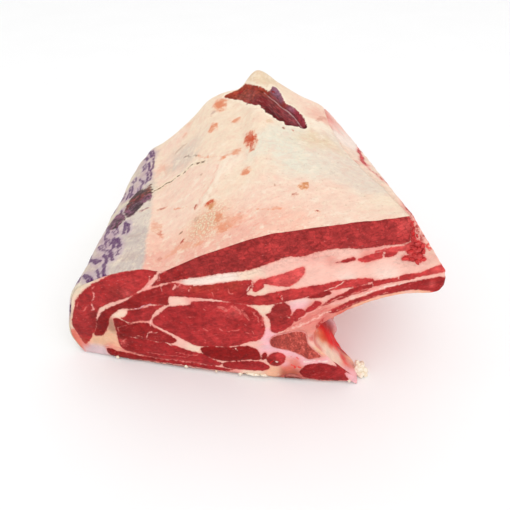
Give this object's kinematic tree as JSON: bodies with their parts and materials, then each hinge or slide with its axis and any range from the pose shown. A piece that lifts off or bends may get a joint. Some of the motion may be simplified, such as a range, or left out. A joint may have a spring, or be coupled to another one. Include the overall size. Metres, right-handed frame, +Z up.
{
  "type": "beef rib roast",
  "caption": "Raw bone-in beef rib roast with a marbled front cut, a fat cap over the back, the split backbone and sawn ribs, standing on its flat split side.",
  "frame": {"origin": "middle of the whole's box seen from above, at the height of the flat split side it stands on", "axes": "+X along the front cut towards the sawn rib ends, +Y along the backbone from the front cut to the back cut, +Z up"},
  "size_m": [0.2898, 0.225, 0.166],
  "materials": {
    "raw_lean": "moist raw beef",
    "fat": "dry cream fat",
    "bone": "sawn bone"
  },
  "bodies": {
    "root": {"lean": "raw_lean", "fat_cap": "fat", "backbone": "bone", "rib_1": "bone", "rib_2": "bone", "rib_3": "bone", "rib_4": "bone"}
  },
  "joints": []
}
